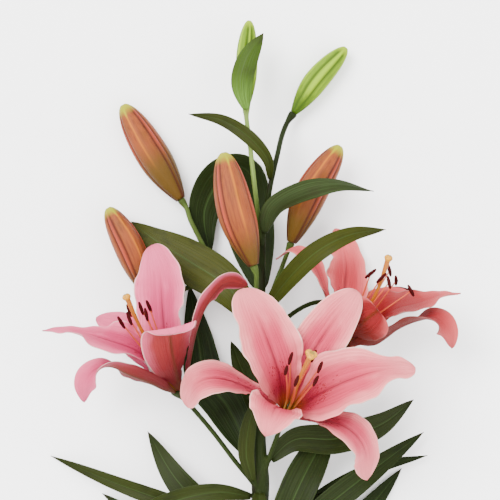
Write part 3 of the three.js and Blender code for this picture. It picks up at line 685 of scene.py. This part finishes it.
coral_skin = bud_paint("coral_bud_skin", (69, 52, 10), (119, 58, 26), (148, 53, 38), (53, 10, 9),
    (178, 102, 6), (129, 129, 6), (84, 36, 22))
green_skin = bud_paint("green_bud_skin", (44, 68, 2), (84, 112, 2), (134, 164, 4), (40, 62, 2),
    (142, 170, 6), (118, 140, 4), (108, 134, 4))
for name, bud in buds.items():
    corners, faces, kept = bud_body(bud["points"], bud["radius"], math.radians(bud["turn"]), bud["gap"])
    kept["olive"] = np.full(len(corners), bud["olive"])
    skin, slot = (green_skin, "bud_green") if "green" in name else (coral_skin, "bud_coral")
    fixed(piece(name + "_petals", corners, faces, skin, **kept), slot, name)


# Six tepals make a bloom: three broad petals inside and three narrower sepals outside, free to
# the base. They are thick and satiny, channelled along the midrib, with fine veins and frilled
# edges, and they shade from a deep throat to pale margins.
PETAL_RING, SEPAL_RING, CLAW_LENGTH = 3.9, 5.4, 12.0
PETAL_OPENING, SEPAL_OPENING = 30, 40
PETAL_FRILL, SEPAL_FRILL, STILL_FRILL = 0.95, 0.5, 0.4
petal_shape = dict(width=46, foot=0.09, widest=0.56, taper=1.5, blunt=0.6, cup=(36, 22, 8),
                   wave=(2, 2.5, 2.4), thickness=1.1, rows=72, columns=32)
sepal_shape = dict(petal_shape, width=30, foot=0.12, widest=0.5, cup=(30, 14, 8), wave=(1, 2, 2), columns=24)
still = (0, 1, 0)
# Tepals that lie in shade carry a number from 0 to 1 of painted shade.
tepals = {
    "front": {
        "petal_right": dict(points=[(26, 15, 20), (45, 24, 25), (66, 30, 22), (89, 31, 12)], width=53,
            widest=0.42, taper=1.2, pinch=0.45),
        "sepal_high": dict(points=[(17, 39, 5), (33, 64, 9), (49, 84, 12)], width=36, blunt=0.45),
        "petal_high": dict(points=[(-6.5, 30.5, 19), (-14, 52, 24), (-22, 71, 23), (-30, 86, 14)], taper=0.9,
            widest=0.5, blunt=0.5),
        "sepal_left": dict(points=[(-26, 16.5, 6.5), (-50, 24, 14), (-62, 20.5, 13), (-71, 5, -4)],
            taper=1.8, width=28, foot=0.12, widest=0.55, blunt=0.4, twist=-40, twist_from=0.3),
        "petal_low": dict(points=[(-5, 3.5, 24.5), (-9, 4, 46), (-12, -4, 61), (-15, -13, 64)], width=39,
            taper=1.9, blunt=0.8),
        "sepal_low": dict(points=[(24.5, -5, 14), (41.5, -10.5, 18), (53, -23.5, 10), (56.5, -48.5, -10)],
            width=31, widest=0.55, blunt=0.75, twist=60, twist_from=0.25),
    },
    "left": {
        "sepal_right": dict(points=[(13, 42, 22), (22, 63, 30), (33, 75, 26), (49, 73, 12)], twist=-42,
            width=23, foot=0.2, cup=(30, 20, 10)),
        "petal_high": dict(points=[(-8, 31, -4), (-11, 55, -6), (-13, 80, -9), (-19, 101, -14)], blunt=0.45,
            wave=(3, 2.5, 2.4)),
        "sepal_back": dict(points=[(-24, 28, -22), (-42, 43, -35), (-60, 49, -45)]),
        "petal_left": dict(points=[(-26, 25, 13), (-50, 35, 18), (-74, 41, 12), (-95, 41, 6)], width=50,
            widest=0.42, blunt=1.1, pinch=0.5),
        "sepal_low": dict(painted_shade=0.1, points=[(-17, 5, 20), (-33, 11.5, 24), (-47, 17, 22), (-59, 13, 17),
            (-65, 3.5, 11), (-66, -9.5, 0)], twist=-190, twist_from=0.4, width=20, foot=0.15, widest=0.35,
            taper=0.9, pinch=-0.3, cup=(60, 14, 8)),
        "petal_near": dict(painted_shade=0.35, points=[(-2, 18, 30), (-4, 32, 46), (-4, 42, 57), (-3, 44, 63),
            (-2, 40, 66)], width=42, foot=0.15, widest=0.75, blunt=0.25, taper=1.5, twist=-25,
            twist_from=0.5, wave=still),
    },
    "right": {
        "petal_right": dict(painted_shade=0.85, points=[(31, 23, 9), (52, 29.5, 12), (66, 34.5, 10), (81, 36, 6)],
            width=50, widest=0.42, blunt=1.1, pinch=0.4),
        "sepal_back": dict(painted_shade=0.6, points=[(28, 30, -31.5), (46, 33, -38.5), (58, 33, -41)], width=24),
        "petal_high": dict(painted_shade=0.1, points=[(0, 38, -18), (1, 59, -24), (-6, 82, -28)], width=38),
        "sepal_left": dict(points=[(-15, 38, 5), (-24, 58, 7), (-36, 67, 4), (-49, 60, -3)],
            twist=-25, width=25),
        "petal_near": dict(painted_shade=0.95, points=[(8, 13, 24.5), (14.5, 19.5, 36), (21, 25, 44)], width=35,
            foot=0.1, widest=0.75, blunt=0.3, taper=1.6, wave=still),
        "sepal_low": dict(painted_shade=0.9, points=[(20.5, 0.5, 7), (35, 11, 14), (48, 17, 18), (63, 19, 15),
            (72, 9.5, 6), (75.5, -3, -4)], width=25, foot=0.1, widest=0.36, taper=1, twist=190,
            twist_from=0.5, cup=(60, 14, 8)),
    },
}


def tepal_relief(seed, frill):
    """A channel over the midrib and a keel under it, low veins, and a frill along the edges."""
    rng = np.random.default_rng(seed)
    phases = rng.uniform(0, 2 * np.pi, 6)

    def relief(s, t, x):
        strong = np.sin(np.pi * np.clip(s, 0.03, 1)) ** 0.5 * (1 - 0.5 * s)
        channel = bell(x, 1.5) * strong
        veins = 0.16 * np.cos(2 * np.pi * t * 6.5 + 0.6 * np.sin(9 * s)) * strong * (1 - np.abs(t) ** 3)
        side = np.where(t < 0, phases[0], phases[1])
        edge = np.abs(t) ** 4 * np.sin(np.pi * np.clip(s, 0, 1)) ** 0.6
        curl = np.sin(2 * np.pi * 4.1 * s + side) + 0.7 * np.sin(2 * np.pi * 8.3 * s + phases[2] + side)
        sway = 0.25 * t * np.sin(2 * np.pi * 1.7 * s + phases[3]) * np.sin(np.pi * s)
        return frill * edge * curl + sway - 0.3 * channel, -0.3 * channel + veins, 0.55 * channel

    return relief


def tepal_paint(name, middle, margin, deep, throat, outside, outside_vein_and_shade, keel):
    """Petal skin, from the throat out to its margins, with its own outside and keel, painted shade towards the
    foot of the outside and on tepals that lie in shade, and a painted highlight along the edges.
    """
    made, wire = material(name)
    x, y, _ = wire.point("place")
    along, across, under = wire.number("along"), wire.number("across"), wire.number("under")
    veins = wire.noise(across * 16, along * 1.3, under * 5)
    fine = wire.noise(across * 60, along * 4, under * 5, 1.0)
    cloud = wire.noise(x * 0.07, y * 0.04, under * 7)
    cells = wire.noise(x * 4.0, y * 2.0, under * 3)
    line = veins.between(0.45, 0.65)
    # Each tepal's number of painted shade: it darkens tepals that lie in shade towards deep red inside and
    # out, weakens the painted edge highlight and carries the keel line further up.
    painted_shade = wire.number("painted_shade")
    to_edge = abs(across) + (cloud - 0.5) * 0.5
    from_throat = along + abs(across) * 0.16 + (cloud - 0.5) * 0.12
    # A painted shadow: a thin dark red line down the channel over the midrib, from near the foot to past the
    # middle.
    midrib_shadow = x.near(0, 0.5) * along.between(0.08, 0.2) * (1 - along.between(0.5, 0.85))
    inside = painted(
        middle,
        (to_edge.between(0.35, 1.0) * 0.9, margin),
        (along.between(0.55, 1.0) * 0.75, margin),
        (cloud.between(0.48, 0.75) * along.between(0.3, 0.6) * 0.45, margin),
        ((1 - from_throat.between(0.12, 0.55)) * 0.85, deep),
        (x.near(0, 1.6) * (1 - along.between(0.35, 0.9)) * 0.6, deep),
        (midrib_shadow * 0.6, (76, 15, 28)),
        (line * (1 - along.between(0.3, 0.95)) * 0.28, deep),
        ((1 - (along + abs(across) * 0.05).between(0.05, 0.2)) * 0.9, throat),
        (fine.between(0.5, 0.7) * 0.22, deep),
        # Painted shade on tepals that lie in shade: deep red, fading towards the tip.
        (painted_shade * (1 - along.between(0.55, 1.0) * 0.8), (112, 16, 18)),
    )
    # The outside darkens towards its foot as painted shade, and its veins are drawn in the same deep colour.
    outer = painted(
        along.between(0.2, 0.75).tint(outside_vein_and_shade, outside),
        (line * 0.3, outside_vein_and_shade),
        (to_edge.between(0.5, 1.0) * along.between(0.3, 0.8) * 0.6, margin),
        (x.near(0, 1.3) * (1 - (along - painted_shade * 0.6).between(0.45, 0.9)) * 0.9, keel),
        ((1 - along.between(0.02, 0.16)) * 0.85, keel),
        # Painted shade on the outside of tepals that lie in shade.
        (painted_shade * (1 - along.between(0.45, 0.85) * 0.7), outside_vein_and_shade),
    )
    # A painted highlight: a near-white line along the middle stretch of each edge, weaker on tepals given
    # painted shade.
    edge_highlight = abs(across).between(0.94, 1.0) * along.between(0.36, 0.56) * (1 - painted_shade * 0.9)
    tepal = (edge_highlight * 0.5).tint(under.between(0.3, 0.7).tint(inside, outer), (223, 223, 204))
    height = line * 0.4 + fine * 0.25 + cells * 0.25
    surface(wire, tepal, 0.4 + cells * 0.16, height, 0.0006, 0.0, margin, 0.22, gloss=0.1)
    return made


tepal_skins = {
    "front": tepal_paint("front_bloom_skin", (190, 61, 84), (234, 132, 134), (129, 14, 40), (135, 59, 6),
        (135, 38, 40), (80, 25, 19), (62, 43, 19)),
    "left": tepal_paint("left_bloom_skin", (186, 56, 97), (223, 102, 135), (129, 14, 45), (142, 40, 28),
        (129, 40, 38), (80, 16, 18), (53, 40, 12)),
    "right": tepal_paint("right_bloom_skin", (184, 52, 62), (228, 108, 108), (102, 18, 23), (123, 40, 18),
        (123, 28, 34), (82, 18, 8), (62, 38, 8)),
}


def outward(bloom, degrees):
    """The way out from a bloom's middle at an angle round it."""
    angle = math.radians(degrees)
    return bloom["side"] * math.cos(angle) + bloom["back"] * math.sin(angle)


throats = {}
for count, (name, bloom) in enumerate(blooms.items()):
    parts, grains = [], []
    for place, (key, tepal) in enumerate(tepals[name].items()):
        broad = key.startswith("petal")
        shape = dict(petal_shape if broad else sepal_shape, **tepal)
        painted_shade = shape.pop("painted_shade", 0)
        out = outward(bloom, bloom["turn"] + 60 * place)
        opening = math.radians(PETAL_OPENING if broad else SEPAL_OPENING)
        foot = out * (PETAL_RING if broad else SEPAL_RING) + bloom["axis"] * GAP
        claw = foot + CLAW_LENGTH * (bloom["axis"] * math.cos(opening) + out * math.sin(opening))
        shape["points"] = [bloom["at"] + p for p in (foot, claw, *map(np.array, shape["points"]))]
        frill = STILL_FRILL if shape["wave"] == still else PETAL_FRILL if broad else SEPAL_FRILL
        relief = tepal_relief(100 * count + place, frill)
        corners, faces, kept = blade(face=-out, relief=relief, **shape)
        kept["painted_shade"] = np.full(len(corners), painted_shade)
        node = f"{name}_{key}"
        made = piece(node + "_tepal", corners, faces, tepal_skins[name], **kept)
        fixed(made, "petal_pink" if broad else "sepal_pink", node)
        x, along = kept["place"][:, 0], kept["along"]
        grain = bell(np.abs(x) - 4, 3.5) * (1 - kept["under"])
        grains.append(grain * smooth((along - 0.14) / 0.06) * (1 - smooth((along - 0.26) / 0.22)))
        parts.append((corners, faces, kept["run"]))
    corners, faces, runs = gathered(parts)
    throats[name] = (corners, faces, runs, np.concatenate(grains))


# Each bloom's six stamens grow from a ring round the ovary. A filament is a smooth pink spike
# that thins to the anther, and the anther is a two-lobed pod hung across its end by the middle,
# split open and covered in dark maroon pollen.
FILAMENT_RADIUS, STAMEN_RING = 0.9, 2.35
ANTHER_LENGTH, ANTHER_RADIUS = 10.0, 1.5
anthers = {
    "front": [
        ((22, 33, 51), (0.28, 0.75, 0.6)), ((18, 40, 38), (0.3, 0.8, 0.5)),
        ((2, 39, 52), (0.23, 0.82, 0.53)), ((-1, 31, 56), (0.12, 0.61, 0.78)),
        ((6, 24, 59), (0.25, 0.71, 0.66)), ((19, 24, 57), (0.31, 0.68, 0.66)),
    ],
    "left": [
        ((-20, 58, 12), (-0.33, 0.84, 0.42)), ((-34, 55, 5), (-0.33, 0.84, 0.42)),
        ((-39, 47, 20), (-0.46, 0.82, 0.34)), ((-33, 50, 30), (-0.32, 0.9, 0.3)),
        ((-21, 53, 36), (-0.16, 0.87, 0.46)), ((-25, 57, 26), (-0.27, 0.88, 0.4)),
    ],
    "right": [
        ((35, 45, 16), (-0.05, 0.62, 0.78)), ((31, 52, 5), (-0.2, 0.8, 0.56)),
        ((17, 50, 20), (0.72, 0.6, 0.35)), ((24, 47, 30), (0.65, 0.65, 0.4)),
        ((29, 44, 36), (-0.2, 0.85, 0.5)), ((45, 38, 24), (-0.4, 0.75, 0.5)),
    ],
}

filament_skin, wire = material("filament_skin")
x, y, z = wire.point("place")
streak = wire.noise(x * 2.0, y * 2.0, z * 0.08)
colour = z.between(4.0, 26.0).tint((129, 93, 6), (178, 76, 48))
colour = (streak.between(0.45, 0.75) * 0.4).tint(colour, (148, 48, 40))
surface(wire, colour, 0.35 + streak * 0.15, streak, 0.0002, 0.05, (204, 72, 40), 0.15)

anther_skin, wire = material("anther_skin")
x, y, z = wire.point("place")
powder = wire.noise(x * 4.0, y * 4.0, z * 4.0, 4.0, 0.7)
clump = wire.noise(x * 1.2, y * 1.2, z * 0.9)
colour = powder.between(0.35, 0.7).tint((40, 6, 6), (62, 6, 8))
colour = (clump.between(0.55, 0.75) * 0.4).tint(colour, (69, 19, 12))
surface(wire, colour, 0.75 + powder * 0.2, powder * 0.7 + clump * 0.3, 0.0004, gloss=0.05)

pollen_beds = {}
for name, bloom in blooms.items():
    threads, pods, axis = [], [], bloom["axis"]
    ring = bloom["at"] + GAP * axis
    for i, (middle, lean) in enumerate(anthers[name]):
        out = outward(bloom, bloom["stamen_turn"] + 60 * i)
        foot = ring + 0.3 * axis + STAMEN_RING * out
        rise = foot + 16 * axis + 2 * out
        end = bloom["at"] + np.array(middle, float)
        lean = np.array(lean) / np.linalg.norm(lean)

        def thread_radius(s, angle):
            return FILAMENT_RADIUS * (1.05 - 0.6 * s**1.5) + 0 * angle

        def pod_radius(s, angle):
            share = np.sin(np.pi * (0.1 + 0.8 * s)) ** 0.6
            lobes = 1 + 0.1 * np.cos(2 * angle) - 0.22 * bell(angle, 0.35)
            rough = 1 + 0.05 * np.sin(9 * angle + 40 * s) * np.sin(31 * s + 2 * angle)
            return ANTHER_RADIUS * 0.95 * share * lobes * rough

        bow = np.cross(lean, axis) * 0.5
        tips = [end - lean * ANTHER_LENGTH / 2 + bow, end, end + lean * ANTHER_LENGTH / 2 + bow]
        threads.append(tube([foot - 0.5 * axis, rise, end], np.linspace(0, 1, 40), 12, thread_radius))
        pods.append(tube(tips, np.linspace(0, 1, 36), 28, pod_radius))
    disc = tube([ring, ring + 1.7 * axis], np.linspace(0, 1, 6), 32,
                lambda s, angle: STAMEN_RING + 0.35 + 0.2 * np.cos(6 * angle) - 0.6 * s)
    corners, faces, place = gathered([*threads, disc])
    filaments = piece(f"{name}_filaments", corners, faces, filament_skin, place=place)
    corners, faces, place = gathered(pods)
    pollen_beds[name] = (corners, faces)
    tips = piece(f"{name}_anthers", corners, faces, anther_skin, place=place)
    fixed(filaments, "stamen_maroon", f"{name}_stamens")
    fixed(tips, "stamen_maroon", f"{name}_stamens")


# The pistil stands in the middle: a grooved green ovary, a smooth orange style that thickens
# towards its end, and a sticky three-lobed stigma, pale with a green middle.
STYLE_RADIUS, OVARY_RADIUS, OVARY_LENGTH = 1.25, 1.35, 14.0
pistils = {  # the style's places from the bloom's foot, and its stigma's radius
    "front": (np.array([(9, 27, 44), (16, 42, 58)]), 4.2),
    "left": (np.array([(-25, 42, 20), (-35, 65, 28)]), 2.9),
    "right": (np.array([(21, 37, 22), (29, 61, 30)]), 2.8),
}

pistil_skin, wire = material("pistil_skin")
x, y, z = wire.point("place")
streak = wire.noise(x * 1.6, y * 1.6, z * 0.08)
bead = wire.noise(x * 2.6, y * 2.6, z * 2.6)
knob, ovary = wire.number("knob"), wire.number("ovary")
colour = painted(
    (148, 80, 6),
    (streak.between(0.4, 0.7) * 0.5, (178, 107, 6)),
    (ovary * 0.9, (69, 72, 22)),
    (knob.between(0.2, 0.6), (196, 132, 6)),
    (knob.between(1.2, 2.0), (112, 92, 6)),
)
surface(wire, colour, 0.3 + bead * 0.2, streak * 0.4 + bead * 0.6, 0.0003, 0.25, (170, 123, 6), 0.1)

stigma_beds = {}
for name, bloom in blooms.items():
    foot = bloom["at"]
    points, stigma = pistils[name]
    line = [foot, foot + OVARY_LENGTH * bloom["axis"], *(foot + points)]
    spot, way, length = midline(line, [1.0])

    def column(s, angle):
        ovary = smooth(1 - (s * length - OVARY_LENGTH + 3) / 3)
        swell = 0.6 * smooth(1 - length * (1 - s) / 20)
        return STYLE_RADIUS + (OVARY_RADIUS - STYLE_RADIUS + 0.12 * np.cos(6 * angle)) * ovary + swell

    def lobed(s, angle):
        cleft = 0.3 * bell(angle % (2 * np.pi / 3) - np.pi / 3, 0.22)
        lobes = 1 + 0.12 * np.cos(3 * angle) - cleft * s
        return stigma * 0.98 * (0.4 + 0.6 * np.sin(np.pi * s) ** 0.7) * lobes

    style = tube(line, np.linspace(0, 1, 90), 28, column)
    top = spot[0]
    crown = tube([top - 2.5 * way[0], top, top + 2 * way[0]], np.linspace(0, 1, 22), 60, lobed)
    corners, faces, place = gathered([style, crown])
    s = style[2][:, 2]
    ovary = np.r_[smooth(1 - (s - OVARY_LENGTH + 2) / 4), np.zeros(len(crown[0]))]
    reach = np.hypot(crown[2][:, 0], crown[2][:, 1]) / stigma
    knob = np.r_[np.zeros(len(s)), 1 + (1 - smooth((reach - 0.25) / 0.5)) * (crown[2][:, 2] > 3)]
    made = piece(f"{name}_ovary_and_style", corners, faces, pistil_skin, place=place, knob=knob, ovary=ovary)
    stigma_beds[name] = (crown[0], crown[1])
    fixed(made, "pistil_orange", f"{name}_pistil")


# Fine growths cover three places: low fleshy streaks stand on the petals round each throat,
# loose pollen grains lie on the anthers, and sticky beads cover each stigma. Each kind is
# scattered over the surface it grows on, by the same rule and with a fixed draw.
SMALLEST, LARGEST = 0.55, 1.25
growths = bpy.data.node_groups.new("scattered_growths", "GeometryNodeTree")
wanted = ("Count per square metre", "Seed", "Width", "Length", "Height", "Skin")
kinds = ("Geometry", "Float", "Int", "Float", "Float", "Float", "Material")
for label, kind in zip(("Bed", *wanted), kinds):
    growths.interface.new_socket(label, in_out="INPUT", socket_type="NodeSocket" + kind)
growths.interface.new_socket("Growths", in_out="OUTPUT", socket_type="NodeSocketGeometry")
begin, end = growths.nodes.new("NodeGroupInput"), growths.nodes.new("NodeGroupOutput")
bed, count, seed, width, length, height, skin = (Wire(growths, socket) for socket in begin.outputs[:7])
wire = Wire(growths)
grain = wire.node("GeometryNodeInputNamedAttribute", {"data_type": "FLOAT"}, {"Name": "grain"})
run = wire.node("GeometryNodeInputNamedAttribute", {"data_type": "FLOAT_VECTOR"}, {"Name": "run"})
inputs = {"Mesh": bed, "Density": count * grain, "Seed": seed}
spread = wire.node("GeometryNodeDistributePointsOnFaces", {}, inputs)
inputs = {"Rotation": Wire(growths, spread.socket.node.outputs["Rotation"]), "Vector": run}
lined = wire.node("FunctionNodeAlignRotationToVector", {"axis": "Y", "pivot_axis": "Z"}, inputs)
size = wire.node("ShaderNodeCombineXYZ", {}, {0: width, 1: length, 2: height})
inputs = {"Min": SMALLEST, "Max": LARGEST, "Seed": seed}
chance = wire.node("FunctionNodeRandomValue", {"data_type": "FLOAT"}, inputs, 1)
scale = wire.node("ShaderNodeVectorMath", {"operation": "SCALE"}, {0: size, "Scale": chance})
grown = wire.node("GeometryNodeMeshIcoSphere", {}, {"Radius": 1.0, "Subdivisions": 2})
inputs = {"Points": spread, "Instance": grown, "Rotation": lined, "Scale": scale}
placed = wire.node("GeometryNodeInstanceOnPoints", {}, inputs)
real = wire.node("GeometryNodeRealizeInstances", {}, {0: placed})
eased = wire.node("GeometryNodeSetShadeSmooth", {}, {0: real})
skinned = wire.node("GeometryNodeSetMaterial", {}, {0: eased, "Material": skin})
growths.links.new(skinned.socket, end.inputs[0])
sockets = {item.name: item.identifier for item in growths.interface.items_tree}


def growth_skin(name, scale, low, first, second, rough, vary, coat=0.0):
    """A growth's skin: two close colours in fine patches."""
    made, wire = material(name)
    spot = wire.node("ShaderNodeTexCoord", output=3)
    patch = wire.node("ShaderNodeTexNoise", {}, {"Vector": spot, "Scale": scale, "Detail": 2.0})
    surface(wire, patch.between(low, 0.7).tint(first, second), rough + patch * vary, patch, 0.0001, coat)
    return made


papilla_skin = growth_skin("papilla_skin", 900.0, 0.35, (107, 14, 27), (135, 34, 28), 0.4, 0.2)
pollen_skin = growth_skin("pollen_skin", 1500.0, 0.3, (48, 6, 6), (76, 15, 9), 0.85, 0.1)
bead_skin = growth_skin("stigma_bead_skin", 700.0, 0.35, (148, 112, 6), (118, 88, 6), 0.25, 0.2, 0.3)
scatters = {  # each kind's beds, count per square metre, width, length and height, skin and slot
    "papillae": (throats, 260000.0, (0.00022, 0.0009, 0.0002), papilla_skin, "petal_pink"),
    "pollen": (pollen_beds, 1600000.0, (0.00013, 0.00017, 0.00012), pollen_skin, "stamen_maroon"),
    "stigma_beads": (stigma_beds, 3000000.0, (0.00016, 0.00016, 0.00018), bead_skin, "pistil_orange"),
}
for seed, bloom in enumerate(blooms):
    for step, (kind, (beds, density, size, skin, slot)) in enumerate(scatters.items()):
        corners, faces, *lie = beds[bloom]
        run, grain = lie or (np.tile((0.0, 0.0, 1.0), (len(corners), 1)), np.ones(len(corners)))
        bed = piece("bed", corners, faces, skin, run=run, grain=grain)
        scatter = bed.modifiers.new("scatter", "NODES")
        scatter.node_group = growths
        for label, value in zip(wanted, (density, seed + 10 * step, *size, skin)):
            scatter[sockets[label]] = value
        fixed(settled(bed, f"{bloom}_{kind}", skin), slot)
